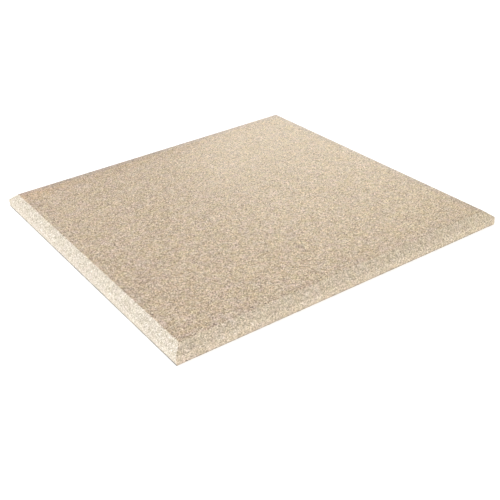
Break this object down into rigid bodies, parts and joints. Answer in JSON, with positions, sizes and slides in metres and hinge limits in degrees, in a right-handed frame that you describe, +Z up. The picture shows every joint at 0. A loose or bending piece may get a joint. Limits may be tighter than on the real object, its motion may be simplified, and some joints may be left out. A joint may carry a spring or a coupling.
{
  "type": "granite slab",
  "caption": "Square granite slab with a wide mitred bevel round its top, laid flat on a bench as the hard backing for stamping, tooling and skiving leather.",
  "frame": {"origin": "middle of the underside, on the surface that the slab lies on", "axes": "+Z up through the work face, +X and +Y along the sides; the slab is the same from all four sides"},
  "size_m": [0.3048, 0.3048, 0.0127],
  "materials": {
    "granite": "honed, fine-grained, sandy beige"
  },
  "bodies": {
    "root": {"granite_slab": "granite"}
  },
  "joints": []
}
